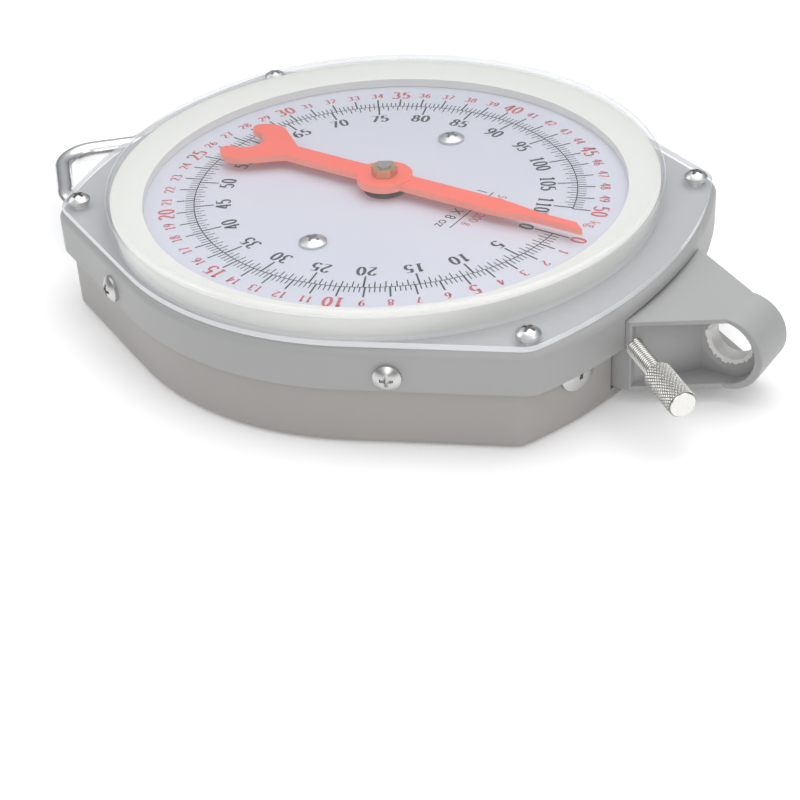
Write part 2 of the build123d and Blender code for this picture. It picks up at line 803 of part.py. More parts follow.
for name, x in (("spring_right", spring_x), ("spring_left", -spring_x)):
    with BuildPart() as spring:
        with BuildSketch(Plane.XY.offset(load_height)):
            for turn in range(coil_count):
                with Locations((x + coil_radius, coil_low + turn * coil_pitch)):
                    Circle(wire / 2 + 0.05)
        revolve(axis=Axis(origin=(x, 0, load_height), direction=(0, 1, 0)))
        with BuildLine(Plane.XY.offset(load_height)) as low_hook:
            Line((x + coil_radius, coil_low), (x + coil_radius, hook_low_centre))
            ThreePointArc(
                (x + coil_radius, hook_low_centre),
                (x, hook_low_centre - coil_radius),
                (x - coil_radius, hook_low_centre),
            )
            Line((x - coil_radius, hook_low_centre), (x - coil_radius, hook_low_centre + 5))
        with BuildSketch(Plane(origin=(x + coil_radius, coil_low, load_height), z_dir=(0, -1, 0))):
            Circle(wire / 2)
        sweep(path=low_hook.line)
        with BuildLine(Plane.XY.offset(load_height)) as high_hook:
            Line((x - coil_radius, coil_high), (x - coil_radius, hook_high_centre))
            ThreePointArc(
                (x - coil_radius, hook_high_centre),
                (x, hook_high_centre + coil_radius),
                (x + coil_radius, hook_high_centre),
            )
            Line((x + coil_radius, hook_high_centre), (x + coil_radius, hook_high_centre - 5))
        with BuildSketch(Plane(origin=(x - coil_radius, coil_high, load_height), z_dir=(0, 1, 0))):
            Circle(wire / 2)
        sweep(path=high_hook.line)
    finish(spring.part, name)

# Bail: one bent rod, studs through the crosshead.
knee_y = bail_apex + bail_leg_x / tan(radians(bail_slope))
with BuildPart() as bail:
    with BuildLine(Plane.XY.offset(load_height)) as bail_line:
        FilletPolyline(
            (bail_leg_x, crosshead_low_y),
            (bail_leg_x, knee_y),
            (0, bail_apex),
            (-bail_leg_x, knee_y),
            (-bail_leg_x, crosshead_low_y),
            radius=bail_bend,
        )
    with BuildSketch(
        Plane(origin=(bail_leg_x, crosshead_low_y, load_height), z_dir=(0, -1, 0))
    ):
        Circle(bail_radius)
    sweep(path=bail_line.line)
    stud_length = crosshead_depth + 8
    with BuildSketch(Plane.XZ.offset(-crosshead_low_y)):
        with Locations((bail_leg_x, load_height), (-bail_leg_x, load_height)):
            Circle(stud_radius)
    extrude(amount=-stud_length)
finish(bail.part, "bail")

bail_nut = hex_nut(10, 5, stud_radius + running_gap / 2)
with BuildPart() as bail_nuts:
    for x in (bail_leg_x, -bail_leg_x):
        seat = (x, crosshead_high_y + 0.02, load_height)
        with Locations(Plane(origin=seat, z_dir=(0, 1, 0), x_dir=(0, 0, 1))):
            add(bail_nut)
finish(bail_nuts.part, "bail_nuts")

bush_flange = 5.6
bush_seat = arc_centre_y + sqrt(tray_end_radius**2 - (bail_leg_x - bush_flange) ** 2) + seat_gap
bush_head = 1.3
bush_length = 12.0
with BuildPart() as bail_bushes:
    with BuildSketch(Plane.XZ.offset(bush_seat)):
        with Locations((bail_leg_x, load_height), (-bail_leg_x, load_height)):
            Circle(bush_radius)
    extrude(amount=-bush_length)
    with BuildSketch(Plane.XZ.offset(bush_seat)):
        with Locations((bail_leg_x, load_height), (-bail_leg_x, load_height)):
            Circle(bush_flange)
    extrude(amount=bush_head)
    with BuildSketch(Plane.XZ.offset(bush_seat + 3)):
        with Locations((bail_leg_x, load_height), (-bail_leg_x, load_height)):
            Circle(bail_radius + running_gap)
    extrude(amount=-bush_length - 6, mode=Mode.SUBTRACT)
finish(bail_bushes.part, "bail_bushes")

# Pointer.
blade_half = 3.9
blade_wide_y = 50.0
blade_narrow_y = 61.0
blade_narrow = 1.7
fork_outer = 14.3
with BuildPart() as pointer:
    with BuildSketch(Plane.XY.offset(pointer_bottom)):
        with BuildLine():
            Polyline(
                (-blade_half, 0),
                (-blade_half, blade_wide_y - 6),
                (-blade_half + 0.6, blade_wide_y),
                (-blade_narrow, blade_narrow_y),
                (-blade_narrow, pointer_tip - 4),
                (blade_narrow, pointer_tip),
                (blade_narrow, blade_narrow_y),
                (blade_half - 0.6, blade_wide_y),
                (blade_half, blade_wide_y - 6),
                (blade_half, 0),
                close=True,
            )
        make_face()
        with Locations((0, -22)):
            Rectangle(2 * blade_half, 44)
        Circle(hub_radius)
        with BuildLine():
            Line((-blade_half, -40), (blade_half, -40))
            Line((blade_half, -40), (fork_outer - 1, -52))
            ThreePointArc((fork_outer - 1, -52), (fork_outer, -59), (fork_outer - 3, -63.5))
            ThreePointArc((fork_outer - 3, -63.5), (fork_outer - 6.5, -63), (fork_outer - 7.5, -60))
            ThreePointArc((fork_outer - 7.5, -60), (0, -53.4), (7.5 - fork_outer, -60))
            ThreePointArc((7.5 - fork_outer, -60), (6.5 - fork_outer, -63), (3 - fork_outer, -63.5))
            ThreePointArc((3 - fork_outer, -63.5), (-fork_outer, -59), (1 - fork_outer, -52))
            Line((1 - fork_outer, -52), (-blade_half, -40))
        make_face()
    extrude(amount=pointer_thickness)
    with Locations((0, 0, hub_top)):
        Cylinder(hub_radius, 1.0, align=(Align.CENTER, Align.CENTER, Align.MAX))
        Cylinder(
            hub_boss_radius,
            hub_top - pointer_bottom + 2.4,
            align=(Align.CENTER, Align.CENTER, Align.MAX),
        )
        Cylinder(arbor_radius + running_gap / 4, 30, mode=Mode.SUBTRACT)
finish(pointer.part, "pointer")

with BuildPart() as pointer_nut:
    with Locations((0, 0, hub_top + 0.02)):
        add(hex_nut(nut_flats, nut_height, arbor_radius + running_gap / 4))
finish(pointer_nut.part, "pointer_nut")

# Tare screw with its pad.
spigot_radius = 1.5
spigot_length = 2.0
with BuildPart() as tare_screw:
    with BuildSketch(tare_plane(-tare_exposed)):
        Circle(tare_thread)
    extrude(amount=-(tare_exposed + tare_inside))
    with BuildSketch(tare_plane(tare_inside)):
        Circle(spigot_radius)
    extrude(amount=-spigot_length)
    with BuildSketch(tare_plane(-tare_exposed)):
        Circle(knob_radius)
    extrude(amount=knob_length)
    knob_rim = tare_screw.edges().filter_by(GeomType.CIRCLE).filter_by(
        lambda e: abs(e.radius - knob_radius) < 0.01
    )
    chamfer(knob_rim, 0.6)
finish(tare_screw.part, "tare_screw")

with BuildPart() as tare_pad:
    with BuildSketch(tare_plane(tare_inside + 0.05)):
        Circle(tare_thread)
    extrude(amount=-(pad_length - 0.05))
    with BuildSketch(tare_plane(tare_inside)):
        Circle(spigot_radius + running_gap)
    extrude(amount=-(spigot_length + 0.1), mode=Mode.SUBTRACT)
finish(tare_pad.part, "tare_pad")

# Tare lever, its pivot and the yoke that holds the springs.
with BuildPart() as tare_lever:
    with BuildSketch(Plane.XY.offset(tare_z - lever_sheet / 2)):
        for nose in (lever_nose_in, lever_nose_out):
            with Locations(nose):
                Circle(lever_nose)
            reach = hypot(nose[0] - lever_pivot[0], nose[1] - lever_pivot[1])
            across = (
                (nose[1] - lever_pivot[1]) / reach * lever_arm_half,
                -(nose[0] - lever_pivot[0]) / reach * lever_arm_half,
            )
            with BuildLine():
                Polyline(
                    (nose[0] + across[0], nose[1] + across[1]),
                    (lever_pivot[0] + across[0], lever_pivot[1] + across[1]),
                    (lever_pivot[0] - across[0], lever_pivot[1] - across[1]),
                    (nose[0] - across[0], nose[1] - across[1]),
                    close=True,
                )
            make_face()
        with Locations(lever_pivot):
            Circle(4.2)
            Circle(2.5 + running_gap, mode=Mode.SUBTRACT)
    extrude(amount=lever_sheet)
finish(tare_lever.part, "tare_lever")

with BuildPart() as lever_pivot_pin:
    with BuildSketch(Plane.XY.offset(hanger_low)):
        with Locations(lever_pivot):
            Circle(2.5)
    extrude(amount=tare_z + lever_sheet / 2 + 1.5 - hanger_low)
    with BuildSketch(Plane.XY.offset(hanger_low + frame_plate + 0.02)):
        with Locations(lever_pivot):
            Circle(3.8)
    extrude(amount=tare_z - lever_sheet / 2 - slip_gap - hanger_low - frame_plate)
finish(lever_pivot_pin.part, "lever_pivot_pin")

yoke_bar = 9.0
yoke_half = frame_half - frame_rib - slip_gap
tongue_x = lever_nose_out[0]
tongue_half = 4.5
tab_sheet = 2.4
yoke_bottom = hanger_low + frame_plate + slip_gap
yoke_high_top = load_height + crosshead_height / 2 - 1
yoke_bar_y = yoke_pin_y + pin_reach - 2 + yoke_bar / 2
with BuildPart() as tare_yoke:
    with Locations((0, yoke_bar_y, yoke_bottom)):
        Box(
            2 * yoke_half,
            yoke_bar,
            yoke_high_top - yoke_bottom,
            align=(Align.CENTER, Align.CENTER, Align.MIN),
        )
    with Locations(
        (spring_x, yoke_pin_y + 1, yoke_bottom), (-spring_x, yoke_pin_y + 1, yoke_bottom)
    ):
        Box(
            2 * fork_half,
            pin_reach * 2 - 2,
            yoke_high_top - yoke_bottom,
            align=(Align.CENTER, Align.CENTER, Align.MIN),
        )
    with Locations(
        (spring_x, yoke_pin_y - 3, load_height), (-spring_x, yoke_pin_y - 3, load_height)
    ):
        Box(40, 18, 2 * fork_gap, mode=Mode.SUBTRACT)
    with Locations((tongue_x, (yoke_bar_y + tab_face + tab_sheet) / 2, yoke_bottom)):
        Box(
            2 * tongue_half,
            tab_face + tab_sheet - yoke_bar_y,
            4.0,
            align=(Align.CENTER, Align.CENTER, Align.MIN),
        )
    with Locations((tongue_x - 1.5, tab_face + tab_sheet / 2, yoke_bottom)):
        Box(
            6.0,
            tab_sheet,
            tare_z + 3 - yoke_bottom,
            align=(Align.CENTER, Align.CENTER, Align.MIN),
        )
    with BuildSketch(Plane.XY):
        with Locations((spring_x, yoke_pin_y), (-spring_x, yoke_pin_y)):
            Circle(pin_radius + running_gap / 4)
    extrude(amount=40, mode=Mode.SUBTRACT)
finish(tare_yoke.part, "tare_yoke")

with BuildPart() as upper_spring_pins:
    with BuildSketch(Plane.XY.offset(yoke_bottom + 0.5)):
        with Locations((spring_x, yoke_pin_y), (-spring_x, yoke_pin_y)):
            Circle(pin_radius)
    extrude(amount=yoke_high_top - yoke_bottom - 1)
finish(upper_spring_pins.part, "upper_spring_pins")
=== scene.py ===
from math import ceil, cos, hypot, pi, radians, sin

import bpy
from mathutils import Matrix, Vector


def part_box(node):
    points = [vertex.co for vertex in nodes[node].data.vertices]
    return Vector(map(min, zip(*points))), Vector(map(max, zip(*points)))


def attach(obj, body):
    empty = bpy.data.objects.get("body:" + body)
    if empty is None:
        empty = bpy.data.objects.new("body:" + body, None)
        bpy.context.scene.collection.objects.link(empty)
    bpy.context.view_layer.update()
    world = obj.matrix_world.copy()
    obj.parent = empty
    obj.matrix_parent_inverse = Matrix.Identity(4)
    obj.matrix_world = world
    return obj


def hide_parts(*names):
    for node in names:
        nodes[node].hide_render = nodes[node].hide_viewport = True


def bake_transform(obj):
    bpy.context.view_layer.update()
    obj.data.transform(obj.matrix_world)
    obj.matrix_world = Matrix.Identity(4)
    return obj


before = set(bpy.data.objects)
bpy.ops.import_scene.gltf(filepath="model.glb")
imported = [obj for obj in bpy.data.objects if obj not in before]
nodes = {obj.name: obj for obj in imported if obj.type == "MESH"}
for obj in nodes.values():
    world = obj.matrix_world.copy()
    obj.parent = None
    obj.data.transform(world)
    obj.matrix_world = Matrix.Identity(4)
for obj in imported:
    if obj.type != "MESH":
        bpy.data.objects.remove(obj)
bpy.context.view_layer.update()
mm = 0.001
print("frame loaded,", len(nodes), "nodes")


# small helpers for node trees

class Signal:
    # wraps one output socket, so that arithmetic on it adds Math nodes
    def __init__(self, tree, socket):
        self.tree = tree
        self.socket = socket

    def calc(self, operation, left, right=0.0):
        return addNode(self.tree, "ShaderNodeMath", {"operation": operation}, {0: left, 1: right})

    def __add__(self, other):
        return self.calc("ADD", self, other)

    def __radd__(self, other):
        return self.calc("ADD", other, self)

    def __sub__(self, other):
        return self.calc("SUBTRACT", self, other)

    def __rsub__(self, other):
        return self.calc("SUBTRACT", other, self)

    def __mul__(self, other):
        return self.calc("MULTIPLY", self, other)

    def __rmul__(self, other):
        return self.calc("MULTIPLY", other, self)

    def __truediv__(self, other):
        return self.calc("DIVIDE", self, other)

    def __pow__(self, other):
        return self.calc("POWER", self, other)

    def __gt__(self, other):
        return self.calc("GREATER_THAN", self, other)

    def __lt__(self, other):
        return self.calc("LESS_THAN", self, other)

    def atLeast(self, other):
        return self.calc("MAXIMUM", self, other)

    def atMost(self, other):
        return self.calc("MINIMUM", self, other)


def addNode(tree, kind, settings=None, values=None, output=0):
    # one node: its settings first, then the values or links of its sockets
    node = tree.nodes.new(kind)
    for key, value in (settings or {}).items():
        if key == "stops":
            ramp = node.color_ramp.elements
            while len(ramp) < len(value):
                ramp.new(0.5)
            for element, (place, colour) in zip(ramp, value):
                element.position = place
                element.color = (*colour, 1) if len(colour) == 3 else colour
        else:
            setattr(node, key, value)
    for key, value in (values or {}).items():
        if isinstance(value, Signal):
            tree.links.new(value.socket, node.inputs[key])
        else:
            node.inputs[key].default_value = value
    return Signal(tree, node.outputs[output])


def mixColour(tree, share, first, second):
    full = [c if isinstance(c, Signal) else (*c, 1) for c in (first, second)]
    return addNode(tree, "ShaderNodeMix", {"data_type": "RGBA"}, {0: share, 6: full[0], 7: full[1]}, 2)


def tinted(colour, factor):
    return tuple(part * factor for part in colour)


def objectPlace(tree):
    return addNode(tree, "ShaderNodeTexCoord", {}, {}, "Object")


def axesOf(tree, place):
    split = addNode(tree, "ShaderNodeSeparateXYZ", {}, {0: place}).socket.node
    return [Signal(tree, socket) for socket in split.outputs]


def noise(tree, place, scale, detail=3, roughness=0.5):
    values = {"Vector": place, "Scale": scale, "Detail": detail, "Roughness": roughness}
    return addNode(tree, "ShaderNodeTexNoise", {}, values)


def ramp(tree, factor, low, high):
    # 0 below low, 1 above high, straight between
    settings = {"clamp": True}
    return addNode(tree, "ShaderNodeMapRange", settings, {"Value": factor, 1: low, 2: high})


def bump(tree, height, strength, distance):
    values = {"Strength": strength, "Distance": distance, "Height": height}
    return addNode(tree, "ShaderNodeBump", {}, values)


def material(name, build):
    # a new material whose tree is filled by build(tree), which returns the shader
    made = bpy.data.materials.new(name)
    made.use_nodes = True
    tree = made.node_tree
    tree.nodes.clear()
    shader = build(tree)
    linkOut(tree, shader)
    return made


def linkOut(tree, shader):
    out = tree.nodes.new("ShaderNodeOutputMaterial")
    tree.links.new(shader.socket, out.inputs["Surface"])


def principled(tree, **values):
    names = {key.replace("_", " "): value for key, value in values.items()}
    full = {k: (*v, 1) if isinstance(v, tuple) and len(v) == 3 else v for k, v in names.items()}
    return addNode(tree, "ShaderNodeBsdfPrincipled", {}, full)


# finishes

enamel = {
    "cover": (0.375, 0.377, 0.37),
    "tray": (0.372, 0.355, 0.336),
    "casting": (0.375, 0.376, 0.373),
    "bare": (0.82, 0.81, 0.79),
    "gloss": 0.42,
    "coat": 0.12,
    "coatRoughness": 0.25,
    "peel": 620,  # orange peel, per metre
    "specks": 260,
}


def enamelTree(colour, casting):
    def build(tree):
        place = objectPlace(tree)
        x, y, z = axesOf(tree, place)
        clouds = noise(tree, place, 14, 4, 0.55)
        fine = noise(tree, place, enamel["peel"], 2)
        shade = mixColour(tree, ramp(tree, clouds, 0.3, 0.7), tinted(colour, 0.965), tinted(colour, 1.03))
        spots = addNode(tree, "ShaderNodeTexVoronoi", {}, {"Vector": place, "Scale": enamel["specks"]})
        rare = noise(tree, place, 75, 1) > 0.66
        dust = (spots < 0.07) * rare * 0.35
        shade = mixColour(tree, dust, shade, tinted(colour, 0.45))
        height = fine * 0.5 + noise(tree, place, 90, 2) * 0.8
        gloss = ramp(tree, noise(tree, place, 40, 3), 0.2, 0.8) * 0.1 + enamel["gloss"]
        if casting:
            across = ((y - casting["eyeY"]) ** 2 + (z - casting["eyeZ"]) ** 2) ** 0.5
            ragged = across + noise(tree, place, 520, 3, 0.7) * 0.0034
            chip = (ragged < casting["chipReach"]) * ((x ** 2) ** 0.5 < casting["chipHalf"])
            shade = mixColour(tree, chip, shade, enamel["bare"])
            gloss = gloss * (1 - chip * 0.35)
            height = height + noise(tree, place, 240, 3, 0.6) * 1.1 - chip * 1.5
        normal = bump(tree, height, 0.5, 0.00012)
        return principled(
            tree, Base_Color=shade, Roughness=gloss, Normal=normal,
            Coat_Weight=enamel["coat"], Coat_Roughness=enamel["coatRoughness"],
        )
    return build


eye = {"eyeY": 0.1328, "eyeZ": 0.0193, "chipReach": 0.0099, "chipHalf": 0.0048}
coverPaint = material("coverPaint", enamelTree(enamel["cover"], None))
trayPaint = material("trayPaint", enamelTree(enamel["tray"], None))
castPaint = material("castPaint", enamelTree(enamel["casting"], eye))

clear = {
    "tint": (0.93, 0.94, 0.97), "haze": 0.03, "roughness": 0.06,
    "wallStart": 0.0935, "wallEnd": 0.0952, "flangeTop": 0.0386,
}


def clearTree(tree):
    place = objectPlace(tree)
    x, y, z = axesOf(tree, place)
    reach = (x ** 2 + y ** 2) ** 0.5
    wall = ramp(tree, reach, clear["wallStart"], clear["wallEnd"]) * (z > clear["flangeTop"])
    flange = (z < clear["flangeTop"])
    facing = addNode(tree, "ShaderNodeNewGeometry", {}, {}, "Normal")
    upright = axesOf(tree, facing)[2]
    edge = flange * ((upright ** 2) < 0.3)
    reflectionStreaks = noise(tree, place, 30, 3)
    # painted highlight: the whitish layer rises on the lens wall, with painted reflection streaks, and on the
    # flange's edge faces; elsewhere it is a thin haze
    haze = clear["haze"] + wall * (reflectionStreaks * 0.14 + 0.05) + flange * 0.12 + edge * 0.5
    ripple = bump(tree, noise(tree, place, 55, 1), 0.05, 0.0001)
    seeThrough = addNode(tree, "ShaderNodeBsdfTransparent", {}, {"Color": (0.985, 0.99, 0.99, 1)})
    shine = {"Color": (1, 1, 1, 1), "Roughness": clear["roughness"], "Normal": ripple}
    gloss = addNode(tree, "ShaderNodeBsdfGlossy", {}, shine)
    slant = addNode(tree, "ShaderNodeLayerWeight", {}, {"Blend": 0.5, "Normal": ripple}, "Facing")
    pane = addNode(tree, "ShaderNodeMixShader", {}, {0: slant ** 5 * 0.8 + 0.03, 1: seeThrough, 2: gloss})
    milkAndRimSheen = principled(tree, Base_Color=clear["tint"], Roughness=0.15)
    return addNode(tree, "ShaderNodeMixShader", {}, {0: haze.atMost(0.85), 1: pane, 2: milkAndRimSheen})


clearPlastic = material("clearPlastic", clearTree)

ivory = {"colour": (0.83, 0.82, 0.76), "inner": (0.87, 0.865, 0.82), "innerReach": 0.084, "outerReach": 0.094}


def ivoryTree(tree):
    place = objectPlace(tree)
    x, y, z = axesOf(tree, place)
    slope = ramp(tree, (x ** 2 + y ** 2) ** 0.5, ivory["innerReach"], ivory["outerReach"])
    shade = mixColour(tree, slope, ivory["inner"], ivory["colour"])
    shade = mixColour(tree, noise(tree, place, 20, 3) * 0.25, shade, tinted(ivory["colour"], 0.93))
    normal = bump(tree, noise(tree, place, 900, 2), 0.12, 0.0001)
    return principled(tree, Base_Color=shade, Roughness=0.3 + noise(tree, place, 60, 2) * 0.12, Normal=normal)


ivoryPlastic = material("ivoryPlastic", ivoryTree)


def dialTree(tree):
    place = objectPlace(tree)
    clouds = ramp(tree, noise(tree, place, 9, 3), 0.3, 0.7)
    shade = mixColour(tree, clouds, (0.63, 0.64, 0.72), (0.67, 0.675, 0.745))
    grain = noise(tree, place, 1600, 2)
    shade = mixColour(tree, grain * 0.12, shade, (0.6, 0.6, 0.68))
    normal = bump(tree, grain, 0.08, 0.00005)
    return principled(tree, Base_Color=shade, Roughness=0.38 + grain * 0.08, Normal=normal)


dialPaint = material("dialPaint", dialTree)


def inkTree(colour):
    def build(tree):
        wear = noise(tree, objectPlace(tree), 2600, 3, 0.6)
        shade = mixColour(tree, ramp(tree, wear, 0.45, 0.8) * 0.3, colour, tuple(c + 0.12 for c in colour))
        return principled(tree, Base_Color=shade, Roughness=0.45 + wear * 0.1)
    return build


blackInk = material("blackInk", inkTree((0.018, 0.018, 0.024)))
redInk = material("redInk", inkTree((0.56, 0.085, 0.1)))

coral = {"body": (0.86, 0.125, 0.075), "edge": (0.92, 0.3, 0.21), "glow": 0.13}


def coralTree(tree):
    place = objectPlace(tree)
    x, y, z = axesOf(tree, place)
    edge = addNode(tree, "ShaderNodeNewGeometry", {}, {}, "Normal")
    # painted light: faces turned sideways get the lighter edge colour
    side = 1 - (axesOf(tree, edge)[2] ** 2)
    clouds = noise(tree, place, 60, 3)
    shade = mixColour(tree, side * 0.8, coral["body"], coral["edge"])
    shade = mixColour(tree, clouds * 0.25, shade, (1.0, 0.17, 0.11))
    # painted glow: the pointer emits its own colour
    return principled(
        tree, Base_Color=shade, Roughness=0.24 + clouds * 0.12, Emission_Color=shade,
        Emission_Strength=coral["glow"], Normal=bump(tree, clouds, 0.08, 0.0004),
    )


coralPlastic = material("coralPlastic", coralTree)


def metalTree(colour, rough, scratchScale, strength=0.25, dark=0.75):
    def build(tree):
        place = objectPlace(tree)
        stretch = addNode(tree, "ShaderNodeMapping", {}, {"Vector": place, "Scale": (1, 1, 0.25)})
        lines = noise(tree, stretch, scratchScale, 4, 0.65)
        stain = ramp(tree, noise(tree, place, 110, 3), 0.35, 0.75)
        shade = mixColour(tree, stain * 0.5, colour, tinted(colour, dark))
        gloss = rough + lines * 0.14 + stain * 0.06
        normal = bump(tree, lines, strength, 0.00006)
        return principled(tree, Base_Color=shade, Metallic=1.0, Roughness=gloss, Normal=normal)
    return build


zinc = material("zincPlate", metalTree((0.66, 0.66, 0.65), 0.22, 900, 0.3, 0.7))
chrome = material("chrome", metalTree((0.97, 0.97, 0.97), 0.12, 200, 0.06, 0.95))
brass = material("brass", metalTree((0.6, 0.47, 0.22), 0.24, 1200, 0.3))
steel = material("turnedSteel", metalTree((0.5, 0.5, 0.49), 0.26, 1100))
springSteel = material("springSteel", metalTree((0.27, 0.28, 0.3), 0.22, 700))


# tare screw: threaded rod with a diamond-knurled knob, painted shade in the grooves
screw = {
    "mouth": (23.1 * mm, 108.8 * mm, 20.9 * mm),
    "angle": 38.5,
    "inside": 19.5 * mm,
    "exposed": 17.0 * mm,
    "radius": 3.0 * mm,
    "pitch": 1.0 * mm,
    "threadDepth": 0.55 * mm,
    "knobRadius": 4.7 * mm,
    "knobLength": 18.5 * mm,
    "chamfer": 0.7 * mm,
    "diamonds": 26,
    "knurlDepth": 0.42 * mm,
    "spigot": 1.5 * mm,
    "spigotLength": 2.0 * mm,
}


def grooveTree(bottom, top):
    # painted shade: dull and dark in the grooves, bright on the crests, by the distance from the screw's axis
    def build(tree):
        place = objectPlace(tree)
        x, y, z = axesOf(tree, place)
        outX, outY = sin(radians(screw["angle"])), cos(radians(screw["angle"]))
        dx, dy, dz = x - screw["mouth"][0], y - screw["mouth"][1], z - screw["mouth"][2]
        side = dx * outY - dy * outX
        endFace = (dx * outX + dy * outY) > screw["exposed"] + screw["knobLength"] - 0.2 * mm
        crest = ramp(tree, (side ** 2 + dz ** 2) ** 0.5, bottom, top).atLeast(endFace)
        lines = noise(tree, place, 1400, 3, 0.6)
        # painted shade: the grooves take the dark colour, the crests the light one
        shade = mixColour(tree, crest, (0.1, 0.098, 0.09), (0.74, 0.73, 0.7))
        normal = bump(tree, lines, 0.3, 0.00006)
        gloss = 0.36 - crest * 0.14 + lines * 0.1
        return principled(tree, Base_Color=shade, Metallic=1.0, Roughness=gloss, Normal=normal)
    return build


threadBottom = screw["radius"] - screw["threadDepth"] * 0.9
threadTop = screw["radius"] - screw["threadDepth"] * 0.15
threadZinc = material("threadZinc", grooveTree(threadBottom, threadTop))
knurlBottom = screw["knobRadius"] - screw["knurlDepth"]
knurlTop = screw["knobRadius"] - screw["knurlDepth"] * 0.3
knurlZinc = material("knurlZinc", grooveTree(knurlBottom, knurlTop))


def nylonTree(tree):
    grain = noise(tree, objectPlace(tree), 1500, 2)
    normal = bump(tree, grain, 0.2, 0.0001)
    return principled(tree, Base_Color=(0.03, 0.03, 0.032), Roughness=0.5 + grain * 0.15, Normal=normal)


nylon = material("blackNylon", nylonTree)

finishOf = {
    "rear_casing": trayPaint, "front_cover": coverPaint, "hanger_frame": castPaint, "lens": clearPlastic,
    "bezel": ivoryPlastic, "dial_plate": dialPaint, "pointer": coralPlastic, "bail": chrome,
    "pointer_nut": brass, "pinion": brass, "rack": brass, "lower_arbor_bush": brass, "upper_arbor_bush": brass,
    "dial_spacers": brass, "tare_pad": brass, "rack_guide": nylon, "bail_bushes": nylon,
    "lens_screws": zinc, "side_screws": zinc, "frame_screws": zinc, "dial_screws": zinc, "lens_nuts": zinc,
    "side_nuts": zinc, "bail_nuts": zinc, "rack_screw": zinc, "dial_posts": steel, "arbor_bridge": steel,
    "lever_pivot_pin": steel, "crosshead": steel, "lower_spring_pins": steel, "upper_spring_pins": steel,
    "arbor": steel, "tare_lever": steel, "tare_yoke": steel,
}
for name, finish in finishOf.items():
    nodes[name].data.materials.clear()
    nodes[name].data.materials.append(finish)
print("finishes:", len(finishOf), "nodes painted")


# making meshes

def meshObject(name, points, faces, finish, smooth=False):
    mesh = bpy.data.meshes.new(name)
    mesh.from_pydata([tuple(p) for p in points], [], faces)
    mesh.materials.append(finish)
    mesh.polygons.foreach_set("use_smooth", [smooth] * len(mesh.polygons))
    mesh.validate()
    made = bpy.data.objects.new(name, mesh)
    bpy.context.scene.collection.objects.link(made)
    return made


def bakeModifiers(maker):
    # the evaluated shape as a plain mesh, with the modifiers gone
    bpy.context.view_layer.update()
    graph = bpy.context.evaluated_depsgraph_get()
    mesh = bpy.data.meshes.new_from_object(maker.evaluated_get(graph))
    maker.modifiers.clear()
    maker.data = mesh
    return maker


# dial print

dial = {
    "top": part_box("dial_plate")[1].z + 0.00003,
    "line": 66.5 * mm,
    "lineWidth": 0.38 * mm,
    "degreesPerKilo": 344.3 / 50,
    "degreesPerPound": 344.3 / 110.23,
    "kilos": 50,
    "pounds": 110,
}
tickRows = [
    # name, count, step in degrees, from and to radius, width
    ("kiloTicks", dial["kilos"] + 1, dial["degreesPerKilo"], 66.5, 72.6, 0.62),
    ("kiloFifths", dial["kilos"] * 5 + 1, dial["degreesPerKilo"] / 5, 66.5, 69.6, 0.4),
    ("poundFives", dial["pounds"] // 5 + 1, dial["degreesPerPound"] * 5, 59.7, 66.5, 0.66),
    ("poundTicks", dial["pounds"] + 1, dial["degreesPerPound"], 63.0, 66.5, 0.42),
    ("poundHalves", dial["pounds"] * 2 + 1, dial["degreesPerPound"] / 2, 64.3, 66.5, 0.36),
]


def tickTree():
    # a row of bars that stand on a circle, one per step of angle
    tree = bpy.data.node_groups.new("tickRow", "GeometryNodeTree")
    inputs = {}
    sockets = [("Count", "NodeSocketInt"), ("Step", "NodeSocketFloat"), ("From", "NodeSocketFloat"),
               ("To", "NodeSocketFloat"), ("Width", "NodeSocketFloat"), ("Height", "NodeSocketFloat"),
               ("Ink", "NodeSocketMaterial")]
    for label, kind in sockets:
        inputs[label] = tree.interface.new_socket(label, in_out="INPUT", socket_type=kind).identifier
    tree.interface.new_socket("Geometry", in_out="OUTPUT", socket_type="NodeSocketGeometry")
    given = tree.nodes.new("NodeGroupInput")
    get = {socket.name: Signal(tree, socket) for socket in given.outputs if socket.name}
    row = addNode(tree, "GeometryNodeMeshLine", {}, {"Count": get["Count"], "Offset": (0, 0, 0)})
    bar = addNode(tree, "GeometryNodeMeshGrid", {}, {
        "Size X": get["Width"], "Size Y": get["To"] - get["From"], "Vertices X": 2, "Vertices Y": 2,
    })
    centre = {1: (get["To"] + get["From"]) * 0.5, 2: get["Height"]}
    middle = addNode(tree, "ShaderNodeCombineXYZ", {}, centre)
    bar = addNode(tree, "GeometryNodeTransform", {}, {"Geometry": bar, "Translation": middle})
    order = addNode(tree, "GeometryNodeInputIndex")
    turn = addNode(tree, "ShaderNodeCombineXYZ", {}, {2: 0 - order * get["Step"]})
    copies = {"Points": row, "Instance": bar, "Rotation": turn}
    bars = addNode(tree, "GeometryNodeInstanceOnPoints", {}, copies)
    bars = addNode(tree, "GeometryNodeRealizeInstances", {}, {"Geometry": bars})
    bars = addNode(tree, "GeometryNodeSetMaterial", {}, {"Geometry": bars, "Material": get["Ink"]})
    out = tree.nodes.new("NodeGroupOutput")
    tree.links.new(bars.socket, out.inputs[0])
    return tree, inputs


ticks, tickInputs = tickTree()
for name, count, step, start, end, width in tickRows:
    made = meshObject(name, [(0, 0, 0)], [], blackInk)
    modifier = made.modifiers.new("ticks", "NODES")
    modifier.node_group = ticks
    values = {"Count": count, "Step": radians(step), "From": start * mm, "To": end * mm,
              "Width": width * mm, "Height": dial["top"], "Ink": blackInk}
    for label, value in values.items():
        modifier[tickInputs[label]] = value
    bakeModifiers(made)
    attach(made, "casing")
print("dial ticks:", len(tickRows), "rows")


